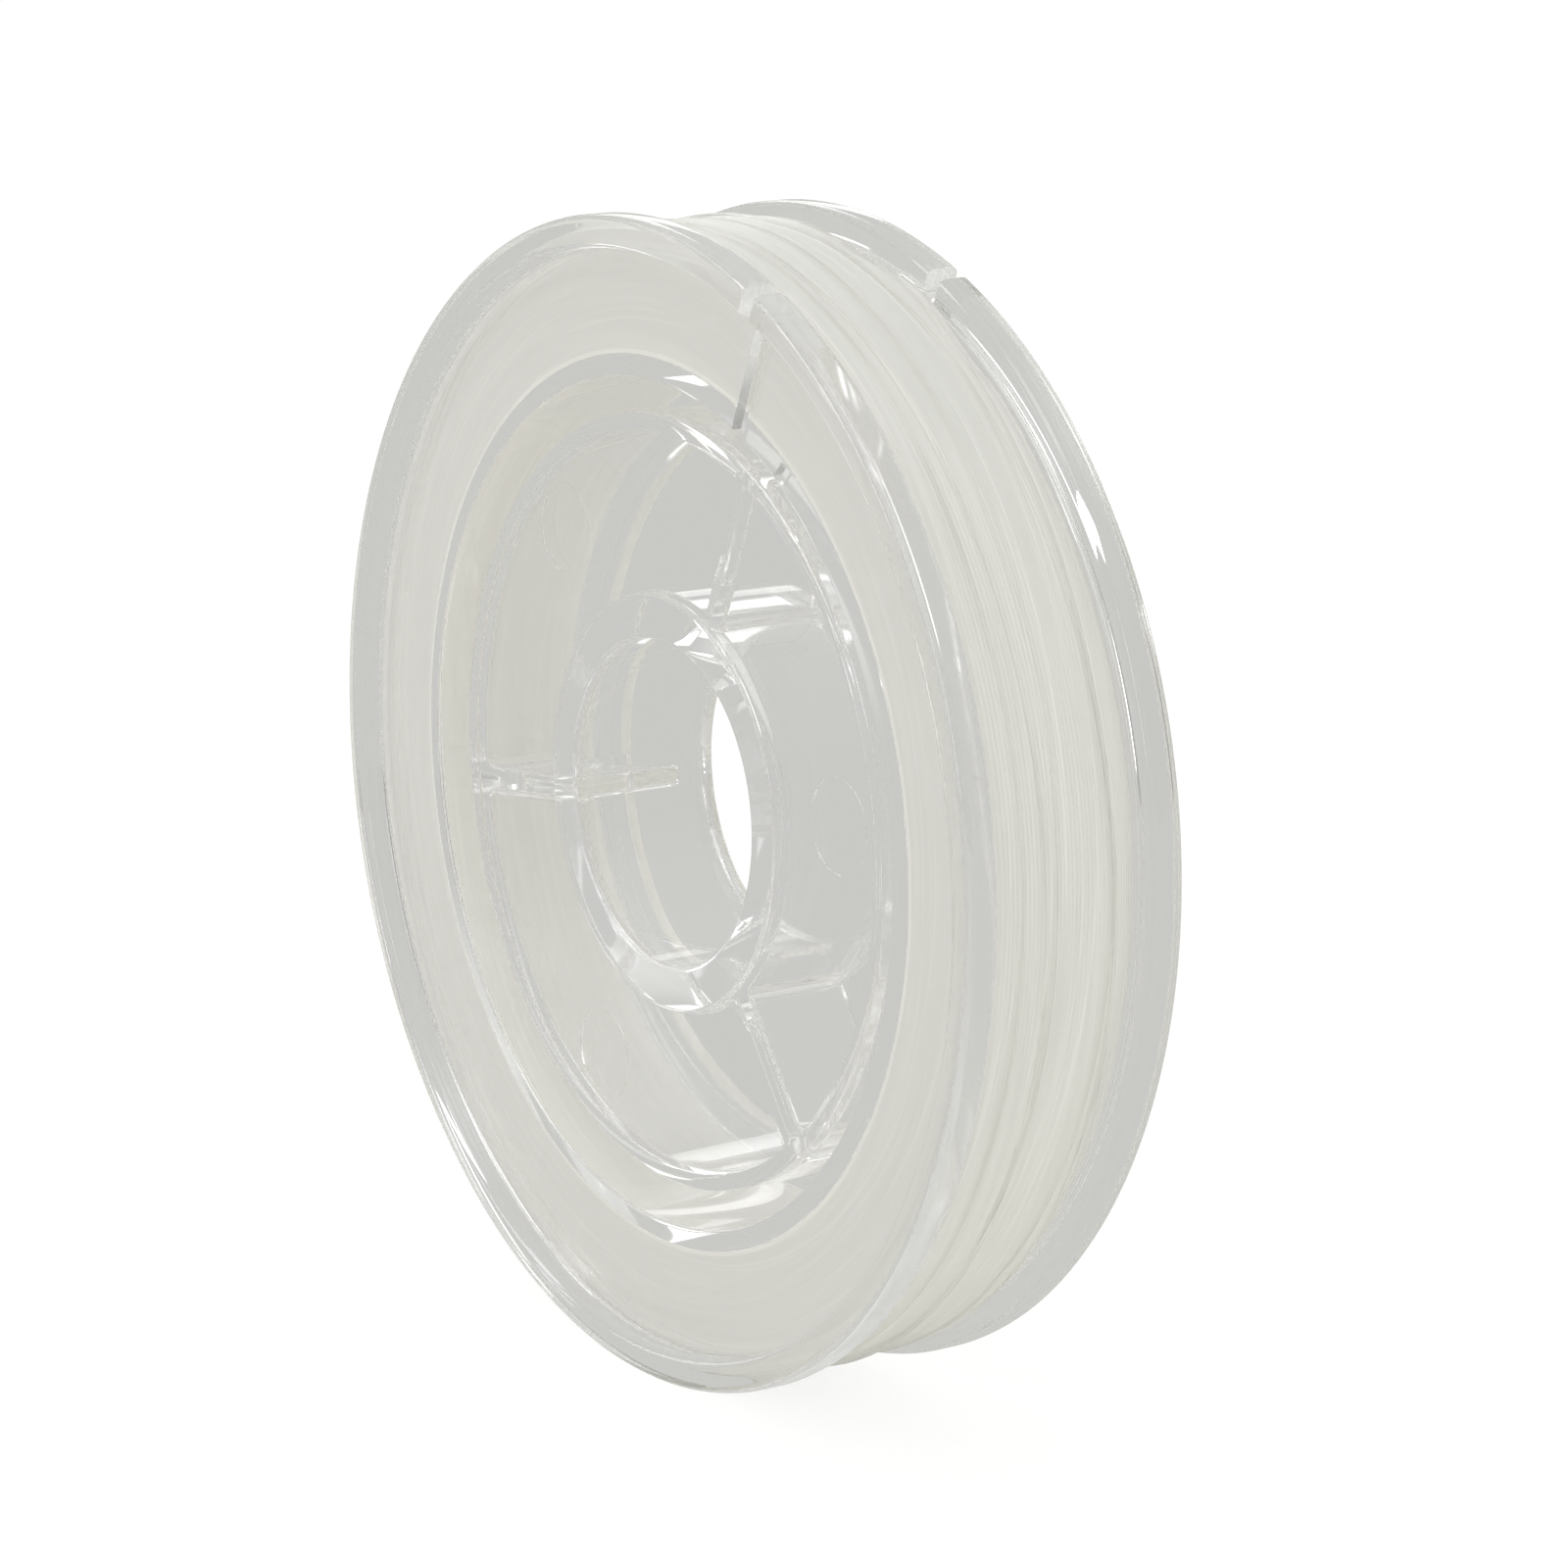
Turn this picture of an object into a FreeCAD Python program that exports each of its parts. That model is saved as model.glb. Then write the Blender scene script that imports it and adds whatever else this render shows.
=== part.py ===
# Small clear plastic spool wound with monofilament fishing line.
#
# The spool is one injection moulding. Two thin flanges with a bead round each rim
# stand on a drum. Inside the drum an annular groove, open to the front, leaves a
# ring tube; a web closes the ring's front end and carries the hub tube with its
# through bore. Three ribs behind the web tie the hub to the ring. Each flange has
# one slit that holds the end of the line. The line fills the channel nearly to
# the rims: a plain core with the outer layer of turns on it.
#
# Millimetres. The spool's axis lies along Y, with the front face towards -Y and
# +Z up. The origin is the middle of the bore, which is also the middle of the
# rims. Angles run clockwise from the top, seen from the front.

import FreeCAD, Part

import math
import os

import Sketcher

Vector = FreeCAD.Vector

SIZES = {
    # rims and flanges
    "rim_radius": 33.5,
    "channel_width": 9.9,
    "flange_thickness": 0.6,
    "bead_depth": 1.9,
    "bead_height": 1.4,
    "bead_corner": 0.5,
    "bead_foot": 0.25,
    # drum, groove and ring
    "opening_radius": 24.4,
    "drum_wall": 1.2,
    "groove_gap": 2.1,
    "groove_floor": 1.15,
    "ring_wall": 1.0,
    "ring_drop": 0.95,
    "edge_round": 0.2,
    # web and hub
    "web_drop": 0.15,
    "web_thickness": 1.0,
    "bore_radius": 9.45,
    "hub_wall": 2.6,
    "hub_drop": 0.75,
    "hub_lip": 0.3,
    # ribs
    "rib_count": 3,
    "rib_thickness": 1.0,
    "rib_drop": 2.35,
    "rib_ring_fillet": 0.8,
    "rib_hub_fillet": 0.4,
    "rib_back_round": 0.3,
    # slits in the flanges, in line with the first rib
    "slit_angle": 22.7,
    "slit_width": 1.15,
    # ejector-pin marks on the web
    "pin_mark_radius": 2.7,
    "pin_mark_circle": 17.9,
    "pin_mark_depth": 0.1,
    # wound line
    "line_diameter": 0.24,
    "line_clearance": 0.1,
    "winding_depth": 7.4,
    "crown_front": 2.4,
    "crown_rear": 1.2,
    "crown_fall": 0.15,
    "shoulder_width": 1.45,
    "shoulder_fall": 1.1,
    "turn_count": 12,
    "tail_bend": 0.5,
}

doc = FreeCAD.newDocument("line_spool")
sheet = doc.addObject("Spreadsheet::Sheet", "sizes")
for row, (alias, number) in enumerate(SIZES.items(), start=1):
    sheet.set(f"A{row}", alias)
    sheet.set(f"B{row}", str(number))
    sheet.setAlias(f"B{row}", alias)
doc.recompute()

# Places worked out from the sizes, as expressions that the features share
FLANGE_IN = "(sizes.channel_width / 2)"
FLANGE_OUT = f"({FLANGE_IN} + sizes.flange_thickness)"
RIM_FACE = f"({FLANGE_OUT} + sizes.bead_height)"
BEAD_IN = "(sizes.rim_radius - sizes.bead_depth)"
DRUM_OUT = "(sizes.opening_radius + sizes.drum_wall)"
RING_OUT = "(sizes.opening_radius - sizes.groove_gap)"
RING_IN = f"({RING_OUT} - sizes.ring_wall)"
RING_FRONT = f"(sizes.ring_drop - {FLANGE_OUT})"
FLOOR_FRONT = f"({FLANGE_OUT} - sizes.groove_floor)"
WEB_FRONT = f"({RING_FRONT} + sizes.web_drop)"
WEB_BACK = f"({WEB_FRONT} + sizes.web_thickness)"
HUB_OUT = "(sizes.bore_radius + sizes.hub_wall)"
HUB_END = f"({FLANGE_OUT} - sizes.hub_drop)"
RIB_BACK = f"({FLANGE_OUT} - sizes.rib_drop)"
WOUND_END = f"({FLANGE_IN} - sizes.line_clearance)"
CORE_IN = f"({DRUM_OUT} + sizes.line_clearance)"
CORE_OUT = f"({DRUM_OUT} + sizes.winding_depth - sizes.line_diameter - sizes.line_clearance)"

NEAR = 1e-4
SLOPE_STEP = 0.01
POINTS_PER_ARC = 12


def value(expression):
    """The number that an expression of the sheet's sizes gives."""
    result = sheet.evalExpression(expression)
    return float(getattr(result, "Value", result))


def new_body(name):
    body = doc.addObject("PartDesign::Body", name)
    body.Label = name
    return body


def origin_feature(body, role):
    return next(f for f in body.Origin.OriginFeatures if f.Role == role)


def new_sketch(body, name, plane, along="0", turned="0"):
    """A sketch on one of the body's planes, moved along and turned about its normal."""
    sketch = body.newObject("Sketcher::SketchObject", name)
    sketch.AttachmentSupport = [(origin_feature(body, plane), "")]
    sketch.MapMode = "FlatFace"
    sketch.AttachmentOffset = FreeCAD.Placement(
        Vector(0, 0, value(along)), FreeCAD.Rotation(Vector(0, 0, 1), value(turned)))
    sketch.setExpression("AttachmentOffset.Base.z", along)
    sketch.setExpression("AttachmentOffset.Rotation.Angle", turned)
    return sketch


def bind(sketch, constraint, expression):
    """Add a constraint and tie its number to an expression."""
    index = sketch.addConstraint(constraint)
    sketch.setExpression(f"Constraints[{index}]", expression)


def pin_point(sketch, geometry, end, x, y):
    """Hold one point of the sketch at the place that two expressions give."""
    bind(sketch, Sketcher.Constraint("DistanceX", -1, 1, geometry, end, value(x)), x)
    bind(sketch, Sketcher.Constraint("DistanceY", -1, 1, geometry, end, value(y)), y)


def outline(sketch, corners):
    """A closed outline of straight lines whose corners are pairs of expressions."""
    places = [Vector(value(x), value(y), 0) for x, y in corners]
    count = len(places)
    for i, place in enumerate(places):
        sketch.addGeometry(Part.LineSegment(place, places[(i + 1) % count]), False)
    for i, (x, y) in enumerate(corners):
        sketch.addConstraint(Sketcher.Constraint("Coincident", (i - 1) % count, 2, i, 1))
        pin_point(sketch, i, 1, x, y)


def revolve(body, name, sketch):
    turned = body.newObject("PartDesign::Revolution", name)
    turned.Profile = sketch
    turned.ReferenceAxis = (sketch, ["V_Axis"])
    turned.Angle = 360
    doc.recompute()
    return turned


def pad(body, name, sketch, length):
    raised = body.newObject("PartDesign::Pad", name)
    raised.Profile = sketch
    raised.setExpression("Length", length)
    doc.recompute()
    return raised


def pocket(body, name, sketch, depth, reverse=False):
    """A pocket, with a test that it has really taken material away."""
    before = body.Shape.Volume
    cut = body.newObject("PartDesign::Pocket", name)
    cut.Profile = sketch
    cut.Reversed = reverse
    cut.setExpression("Length", depth)
    doc.recompute()
    if not cut.Shape.Volume < before:
        raise RuntimeError(f"{name} cuts nothing")
    return cut


def repeat_round(body, name, feature, count):
    pattern = body.newObject("PartDesign::PolarPattern", name)
    pattern.Originals = [feature]
    pattern.Axis = (origin_feature(body, "Y_Axis"), [""])
    pattern.Angle = 360
    pattern.setExpression("Occurrences", count)
    body.Tip = pattern
    doc.recompute()
    return pattern


def fillet(body, name, base, edges, radius):
    if not edges:
        raise RuntimeError(f"{name} finds no edge")
    rounded = body.newObject("PartDesign::Fillet", name)
    rounded.Base = (base, edges)
    rounded.setExpression("Radius", radius)
    doc.recompute()
    return rounded


def circles(shape, places):
    """Names of the round edges about the axis with one of the (radius, y) places."""
    wanted = [(value(radius), value(y)) for radius, y in places]
    names = []
    for number, edge in enumerate(shape.Edges, start=1):
        curve = edge.Curve
        if not isinstance(curve, Part.Circle):
            continue
        if math.hypot(curve.Center.x, curve.Center.z) > NEAR:
            continue
        if any(abs(curve.Radius - r) < NEAR and abs(curve.Center.y - y) < NEAR
               for r, y in wanted):
            names.append(f"Edge{number}")
    return names


def axial_lines(shape, radius, low, high):
    """Names of the straight edges along Y that lie on a cylinder, between two y."""
    wanted = value(radius)
    bottom = value(low) - NEAR
    top = value(high) + NEAR
    names = []
    for number, edge in enumerate(shape.Edges, start=1):
        if not isinstance(edge.Curve, Part.Line):
            continue
        box = edge.BoundBox
        middle = box.Center
        across = max(box.XLength, box.ZLength)
        if across > NEAR or abs(math.hypot(middle.x, middle.z) - wanted) > NEAR:
            continue
        if box.YMin > bottom and box.YMax < top:
            names.append(f"Edge{number}")
    return names


def plane_lines(shape, y):
    """Names of the straight edges that lie in the plane at y."""
    wanted = value(y)
    names = []
    for number, edge in enumerate(shape.Edges, start=1):
        box = edge.BoundBox
        if not isinstance(edge.Curve, Part.Line):
            continue
        if abs(box.YMin - wanted) < NEAR and abs(box.YMax - wanted) < NEAR:
            names.append(f"Edge{number}")
    return names


# Spool moulding: the section of the whole spool, turned about the axis
spool = new_body("spool_moulding")
section = new_sketch(spool, "spool_section", "XY_Plane")
outline(section, [
    ("sizes.bore_radius", f"-{HUB_END}"),
    (HUB_OUT, f"-{HUB_END}"),
    (HUB_OUT, WEB_FRONT),
    (RING_IN, WEB_FRONT),
    (RING_IN, RING_FRONT),
    (RING_OUT, RING_FRONT),
    (RING_OUT, FLOOR_FRONT),
    ("sizes.opening_radius", FLOOR_FRONT),
    ("sizes.opening_radius", f"-{FLANGE_OUT}"),
    (BEAD_IN, f"-{FLANGE_OUT}"),
    (BEAD_IN, f"-{RIM_FACE}"),
    ("sizes.rim_radius", f"-{RIM_FACE}"),
    ("sizes.rim_radius", f"-{FLANGE_IN}"),
    (DRUM_OUT, f"-{FLANGE_IN}"),
    (DRUM_OUT, FLANGE_IN),
    ("sizes.rim_radius", FLANGE_IN),
    ("sizes.rim_radius", RIM_FACE),
    (BEAD_IN, RIM_FACE),
    (BEAD_IN, FLANGE_OUT),
    (RING_IN, FLANGE_OUT),
    (RING_IN, WEB_BACK),
    (HUB_OUT, WEB_BACK),
    (HUB_OUT, HUB_END),
    ("sizes.bore_radius", HUB_END),
])
turned = revolve(spool, "spool_turned", section)

# Rounded corners of the rim beads, and the small fillet at their feet
beads = fillet(spool, "bead_corners", turned, circles(turned.Shape, [
    ("sizes.rim_radius", f"-{RIM_FACE}"),
    ("sizes.rim_radius", RIM_FACE),
    ("sizes.rim_radius", f"-{FLANGE_IN}"),
    ("sizes.rim_radius", FLANGE_IN),
    (BEAD_IN, f"-{RIM_FACE}"),
    (BEAD_IN, RIM_FACE),
]), "sizes.bead_corner")
feet = fillet(spool, "bead_feet", beads, circles(beads.Shape, [
    (BEAD_IN, f"-{FLANGE_OUT}"),
    (BEAD_IN, FLANGE_OUT),
]), "sizes.bead_foot")

# Softened lips of the hub, and softened edges of the ring and the drum
lips = fillet(spool, "hub_lips", feet, circles(feet.Shape, [
    ("sizes.bore_radius", f"-{HUB_END}"),
    ("sizes.bore_radius", HUB_END),
    (HUB_OUT, f"-{HUB_END}"),
    (HUB_OUT, HUB_END),
]), "sizes.hub_lip")
fillet(spool, "ring_edges", lips, circles(lips.Shape, [
    (RING_OUT, RING_FRONT),
    ("sizes.opening_radius", f"-{FLANGE_OUT}"),
    (RING_IN, FLANGE_OUT),
]), "sizes.edge_round")

# Ribs between hub and ring, standing on the back of the web
rib_plan = new_sketch(spool, "rib_plan", "XZ_Plane", f"-{RIB_BACK}", "-sizes.slit_angle")
RIB_FOOT = f"({HUB_OUT} - sizes.hub_wall / 2)"
RIB_HEAD = f"({RING_IN} + sizes.ring_wall / 2)"
outline(rib_plan, [
    ("-sizes.rib_thickness / 2", RIB_FOOT),
    ("sizes.rib_thickness / 2", RIB_FOOT),
    ("sizes.rib_thickness / 2", RIB_HEAD),
    ("-sizes.rib_thickness / 2", RIB_HEAD),
])
rib = pad(spool, "rib", rib_plan, f"{RIB_BACK} - {WEB_FRONT} - sizes.web_thickness / 2")
ribs = repeat_round(spool, "ribs", rib, "sizes.rib_count")
rib_backs = fillet(spool, "rib_backs", ribs, plane_lines(ribs.Shape, RIB_BACK),
                   "sizes.rib_back_round")
rib_heads = fillet(spool, "rib_heads", rib_backs, axial_lines(
    rib_backs.Shape, RING_IN, WEB_BACK, RIB_BACK), "sizes.rib_ring_fillet")
fillet(spool, "rib_feet", rib_heads, axial_lines(
    rib_heads.Shape, HUB_OUT, WEB_BACK, RIB_BACK), "sizes.rib_hub_fillet")

# Slit through each flange and its bead, from the rim to the drum
SLIT_OUT = "(sizes.rim_radius + sizes.bead_depth)"
SLIT_DEPTH = f"{RIM_FACE} - {FLANGE_IN}"
IN_GROOVE = "(sizes.opening_radius - sizes.groove_gap / 2)"
IN_DRUM_WALL = "(sizes.opening_radius + sizes.drum_wall / 2)"
for side, plane_at, bottom, reverse in (
        ("front", RIM_FACE, IN_GROOVE, False),
        ("rear", f"-{RIM_FACE}", IN_DRUM_WALL, True)):
    slit_plan = new_sketch(spool, f"{side}_slit_plan", "XZ_Plane", plane_at,
                           "-sizes.slit_angle")
    outline(slit_plan, [
        ("-sizes.slit_width / 2", bottom),
        ("sizes.slit_width / 2", bottom),
        ("sizes.slit_width / 2", SLIT_OUT),
        ("-sizes.slit_width / 2", SLIT_OUT),
    ])
    pocket(spool, f"{side}_slit", slit_plan, SLIT_DEPTH, reverse)

# Three ejector-pin marks on the front of the web, midway between the ribs
mark_plan = new_sketch(spool, "pin_mark_plan", "XZ_Plane", f"-{WEB_FRONT}",
                       "-sizes.slit_angle - 180 / sizes.rib_count")
mark_plan.addGeometry(Part.Circle(Vector(0, value("sizes.pin_mark_circle"), 0),
                                  Vector(0, 0, 1), value("sizes.pin_mark_radius")), False)
mark_plan.addConstraint(Sketcher.Constraint("PointOnObject", 0, 3, -2))
bind(mark_plan, Sketcher.Constraint("DistanceY", -1, 1, 0, 3, value("sizes.pin_mark_circle")),
     "sizes.pin_mark_circle")
bind(mark_plan, Sketcher.Constraint("Radius", 0, value("sizes.pin_mark_radius")),
     "sizes.pin_mark_radius")
mark = pocket(spool, "pin_mark", mark_plan, "sizes.pin_mark_depth")
repeat_round(spool, "pin_marks", mark, "sizes.rib_count")

# Line core: everything wound under the outer layer, with a crowned surface that
# falls away in a shoulder beside the rear flange
core = new_body("line_core")
core_section = new_sketch(core, "core_section", "XY_Plane")
SHOULDER_AT = f"({WOUND_END} - sizes.shoulder_width)"
CORE_EDGE = f"({CORE_OUT} - sizes.crown_fall)"
SHOULDER_FOOT = f"({CORE_OUT} - sizes.shoulder_fall)"
CORE_SURFACE = [
    (CORE_EDGE, f"-{WOUND_END}"),
    (CORE_OUT, "-sizes.crown_front"),
    (CORE_OUT, "sizes.crown_rear"),
    (CORE_EDGE, SHOULDER_AT),
    (SHOULDER_FOOT, WOUND_END),
]
outline(core_section, [(CORE_IN, f"-{WOUND_END}")] + CORE_SURFACE + [(CORE_IN, WOUND_END)])
revolve(core, "core_turned", core_section)

# Outer layer of turns: one unbroken length of line that winds from the front flange
# to the rear one and tucks its end into the rear slit
LINE = value("sizes.line_diameter")
BEND = value("sizes.tail_bend")
HALF_TURNS = 2 * int(value("sizes.turn_count")) - 1


def core_radius(y):
    """Radius of the core's surface at y, straight from corner to corner."""
    corners = [(value(along), value(radius)) for radius, along in CORE_SURFACE]
    for (y0, r0), (y1, r1) in zip(corners, corners[1:]):
        if y <= y1:
            return r0 + (r1 - r0) * (y - y0) / (y1 - y0)
    return corners[-1][1]


def turn_radius(y):
    """Radius of the line's own centre at y, where it rests on the core."""
    return core_radius(y) + value("sizes.line_clearance") + LINE / 2


def on_turn(angle, y):
    """Place and direction of the line at an angle of its winding."""
    rise = TURN_PITCH / math.tau
    radius = turn_radius(y)
    climb = turn_radius(y + SLOPE_STEP) - turn_radius(y - SLOPE_STEP)
    swell = climb / (2 * SLOPE_STEP) * rise
    outward = Vector(math.sin(angle), 0, math.cos(angle))
    onward = Vector(math.cos(angle), 0, -math.sin(angle))
    along = onward * radius + outward * swell + Vector(0, rise, 0)
    return outward * radius + Vector(0, y, 0), along.normalize()


def arc_middle(start, direction, end):
    """The middle of the arc that leaves start in a direction and reaches end."""
    chord = end - start
    across = direction - chord * (direction.dot(chord) / chord.dot(chord))
    half = math.acos(direction.dot(chord) / chord.Length)
    return (start + end) / 2 + across.normalize() * (chord.Length / 2 * math.tan(half / 2))


def biarc(start, leave, end, arrive):
    """Two arcs that join smoothly and carry one place and direction to the next."""
    reach = start - end
    both = leave + arrive
    apart = 2 * (1 - leave.dot(arrive))
    across = reach.dot(both)
    length = (across + math.sqrt(across ** 2 + apart * reach.dot(reach))) / apart
    joint = (start + end + (leave - arrive) * length) / 2
    return [Part.Arc(start, arc_middle(start, leave, joint), joint).toShape(),
            Part.Arc(joint, arc_middle(end, arrive * -1, joint), end).toShape()]


def bend(place, direction, towards):
    """The bend that turns the line from one direction to another, and where it ends."""
    across = (towards - direction * towards.dot(direction)).normalize()
    whole = math.acos(towards.dot(direction))

    def at(angle):
        return (place + direction * (BEND * math.sin(angle))
                + across * (BEND * (1 - math.cos(angle))))

    return Part.Arc(place, at(whole / 2), at(whole)).toShape(), at(whole)


TURNS_FROM = LINE + BEND - value(FLANGE_IN)
TURNS_TO = value(FLANGE_IN) - BEND
TURN_PITCH = 2 * (TURNS_TO - TURNS_FROM) / HALF_TURNS
LAST_ANGLE = math.radians(value("sizes.slit_angle")) - math.asin(BEND / turn_radius(TURNS_TO))
FORWARD = Vector(0, 1, 0)

stations = []
for half_turn in range(HALF_TURNS + 1):
    angle = LAST_ANGLE + (half_turn - HALF_TURNS) * math.pi
    stations.append(on_turn(angle, TURNS_FROM + half_turn * TURN_PITCH / 2))
turns = []
for (start, leave), (end, arrive) in zip(stations, stations[1:]):
    turns += biarc(start, leave, end, arrive)

first_place, first_way = stations[0]
last_place, last_way = stations[-1]
start_bend, by_flange = bend(first_place, first_way * -1, FORWARD * -1)
end_bend, by_slit = bend(last_place, last_way, FORWARD)
foot = Vector(by_flange.x, -value(FLANGE_IN), by_flange.z)
tip = Vector(by_slit.x, value(FLANGE_OUT), by_slit.z)
path = Part.Wire([Part.LineSegment(foot, by_flange).toShape(), start_bend, *turns, end_bend,
                  Part.LineSegment(by_slit, tip).toShape()])
strand = Part.Wire(Part.Circle(foot, FORWARD, LINE / 2).toShape())
line = doc.addObject("Part::Feature", "line_turns")
line.Label = "line_turns"
line.Shape = path.makePipeShell([strand], True, False)
line.Placement = FreeCAD.Placement()

# The line's least gap to itself, on points at equal steps along its turns
points = [point for edge in turns for point in edge.discretize(POINTS_PER_ARC + 1)[:-1]]
least = min((points[i] - points[j]).Length
            for i in range(len(points)) for j in range(i + 2 * POINTS_PER_ARC, len(points)))
swept = path.Length * math.pi * LINE ** 2 / 4
print(f"line_turns: least gap {least - LINE:.3f} mm, length {path.Length:.1f} mm, "
      f"volume {line.Shape.Volume:.2f} mm3, section times length {swept:.2f} mm3")

# Check every object, then write one file for each piece
doc.recompute()
for thing in doc.Objects:
    if "Invalid" in thing.State or "Error" in thing.State:
        raise RuntimeError(f"{thing.Name} has failed: {thing.State}")
PIECES = [spool, core, line]
for piece in PIECES:
    if piece.Shape.isNull() or not piece.Shape.isValid():
        raise RuntimeError(f"{piece.Label} has no valid shape")
os.makedirs("parts", exist_ok=True)
for piece in PIECES:
    piece.Shape.exportStep(f"parts/{piece.Label}.step")
    print(f"{piece.Label}: {piece.Shape.Volume:.1f} mm3")
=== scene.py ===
import math

import bmesh
import bpy
import numpy as np
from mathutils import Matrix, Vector


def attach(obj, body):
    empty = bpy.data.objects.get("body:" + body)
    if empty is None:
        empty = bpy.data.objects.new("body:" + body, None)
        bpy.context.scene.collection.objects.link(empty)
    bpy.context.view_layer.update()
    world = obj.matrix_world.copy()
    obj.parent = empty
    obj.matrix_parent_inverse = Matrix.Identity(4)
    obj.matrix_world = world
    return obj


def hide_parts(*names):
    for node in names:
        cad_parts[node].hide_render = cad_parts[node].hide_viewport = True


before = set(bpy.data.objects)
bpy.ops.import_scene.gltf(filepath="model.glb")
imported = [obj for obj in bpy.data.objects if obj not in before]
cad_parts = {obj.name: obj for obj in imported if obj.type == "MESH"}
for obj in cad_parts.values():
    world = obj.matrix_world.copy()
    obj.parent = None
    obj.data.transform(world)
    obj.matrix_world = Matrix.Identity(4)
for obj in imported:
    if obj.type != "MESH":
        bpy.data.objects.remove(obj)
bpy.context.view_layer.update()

# The spool is one clear polystyrene moulding. It came out of its mould in one shot:
# the front half of the mould cut the groove round the ring, the rear half cut the
# three pockets between hub and ring, and side slides shaped the channel.
RIM_RADIUS = 0.0335
BEAD_DEPTH = 0.0019
BEAD_HEIGHT = 0.0014
BEAD_CORNER = 0.0005
BEAD_FOOT = 0.00025
CHANNEL_WIDTH = 0.0099
FLANGE_THICKNESS = 0.0006
OPENING_RADIUS = 0.0244
DRUM_WALL = 0.0012
GROOVE_GAP = 0.0021
GROOVE_FLOOR = 0.00115
GROOVE_CORNER = 0.00015
RING_WALL = 0.0010
RING_DROP = 0.00095
RING_LIP = 0.00006
EDGE_ROUND = 0.0002
WEB_DROP = 0.00015
WEB_THICKNESS = 0.0010
BORE_RADIUS = 0.00945
HUB_WALL = 0.0026
HUB_DROP = 0.00075
HUB_LIP = 0.0003
RIB_COUNT = 3
RIB_THICKNESS = 0.0010
RIB_DROP = 0.00235
RIB_RING_FILLET = 0.0008
RIB_HUB_FILLET = 0.0004
RIB_BACK_ROUND = 0.0003
RIB_FOOT_FILLET = 0.0005
RIB_FOOT_START = 0.15
SLIT_ANGLE = math.radians(22.7)
SLIT_WIDTH = 0.00115
PIN_MARK_RADIUS = 0.0027
PIN_MARK_CIRCLE = 0.0179
PIN_MARK_DEPTH = 0.0001
TRIMMED_LIP = 0.0007
TRIMMED_LENGTH = 0.0011
OVERCUT = 0.001
MOULDING_COLUMNS = 1080
SHARP_EDGE = math.radians(32)
FLAT_FACES_WEIGHT = 80
POLISH = 0.02
WEAR = 0.03
WEAR_SCALE = 250.0
TRIM_MARKS = 0.35
TRIM_SCALE = 420.0
RIPPLE = 0.012
RIPPLE_HEIGHT = 0.0002
RIPPLE_SCALE = 260.0
POLYSTYRENE_INDEX = 1.59

FLANGE_IN = CHANNEL_WIDTH / 2
FLANGE_OUT = FLANGE_IN + FLANGE_THICKNESS
RIM_FACE = FLANGE_OUT + BEAD_HEIGHT
BEAD_IN = RIM_RADIUS - BEAD_DEPTH
DRUM_OUT = OPENING_RADIUS + DRUM_WALL
RING_OUT = OPENING_RADIUS - GROOVE_GAP
RING_IN = RING_OUT - RING_WALL
RING_FRONT = RING_DROP - FLANGE_OUT
FLOOR_FRONT = FLANGE_OUT - GROOVE_FLOOR
WEB_FRONT = RING_FRONT + WEB_DROP
WEB_BACK = WEB_FRONT + WEB_THICKNESS
HUB_OUT = BORE_RADIUS + HUB_WALL
HUB_END = FLANGE_OUT - HUB_DROP
RIB_BACK = FLANGE_OUT - RIB_DROP


def round_corners(corners, steps=5, small=0.00025):
    """Closed outline through corners (r, y, radius). A corner of turn a is cut back by
    radius * tan(a / 2) on both sides; its arc is start + radius * (sin t, 1 - cos t) in
    the frame of the incoming side, for t from 0 to a. Small corners keep every other
    point, and sharp ones a single point."""
    corners = np.array(corners, float)
    place, radius = corners[:, :2], corners[:, 2]
    arriving = place - np.roll(place, 1, axis=0)
    arriving /= np.linalg.norm(arriving, axis=1, keepdims=True)
    leaving = np.roll(arriving, -1, axis=0)
    left = np.stack([-arriving[:, 1], arriving[:, 0]], axis=1)
    turn = np.arctan2((left * leaving).sum(1), (arriving * leaving).sum(1))
    start = place - arriving * (radius * np.tan(np.abs(turn) / 2))[:, None]
    t = np.linspace(0, 1, steps)[None, :, None] * np.abs(turn)[:, None, None]
    side = left * np.sign(turn)[:, None]
    swept = (start[:, None] + radius[:, None, None]
             * (np.sin(t) * arriving[:, None] + (1 - np.cos(t)) * side[:, None]))
    kept = (np.arange(steps) % 2 == 0) | (radius[:, None] > small)
    kept &= (np.arange(steps) == 0) | (radius[:, None] > 0)
    return swept[kept]


def turn_about_axis(outline, columns):
    """Surface of revolution: (r, y) turned to (r sin a, y, r cos a) at equal angles a."""
    angle = np.linspace(0, math.tau, columns, endpoint=False)
    r, y = outline[:, 0, None], outline[:, 1, None]
    return np.stack([r * np.sin(angle), y + 0 * angle, r * np.cos(angle)], axis=-1)


def grid_faces(rows, columns, closed_rows):
    """Four corner numbers for each cell of a grid of points, row by row: (i, j),
    (i, j + 1), (i + 1, j + 1), (i + 1, j). The columns always close into a loop."""
    i = np.arange(rows if closed_rows else rows - 1)[:, None]
    j = np.arange(columns)[None, :]
    i_next, j_next = (i + 1) % rows, (j + 1) % columns
    cell = [i * columns + j, i * columns + j_next, i_next * columns + j_next, i_next * columns + j]
    return np.stack(cell, axis=-1).reshape(-1, 4)


def make_piece(name, points, faces):
    """A mesh object from an array of points and its faces."""
    mesh = bpy.data.meshes.new(name)
    mesh.from_pydata(points.reshape(-1, 3).tolist(), [], [list(face) for face in faces])
    mesh.validate()
    piece = bpy.data.objects.new(name, mesh)
    bpy.context.scene.collection.objects.link(piece)
    return piece


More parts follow.
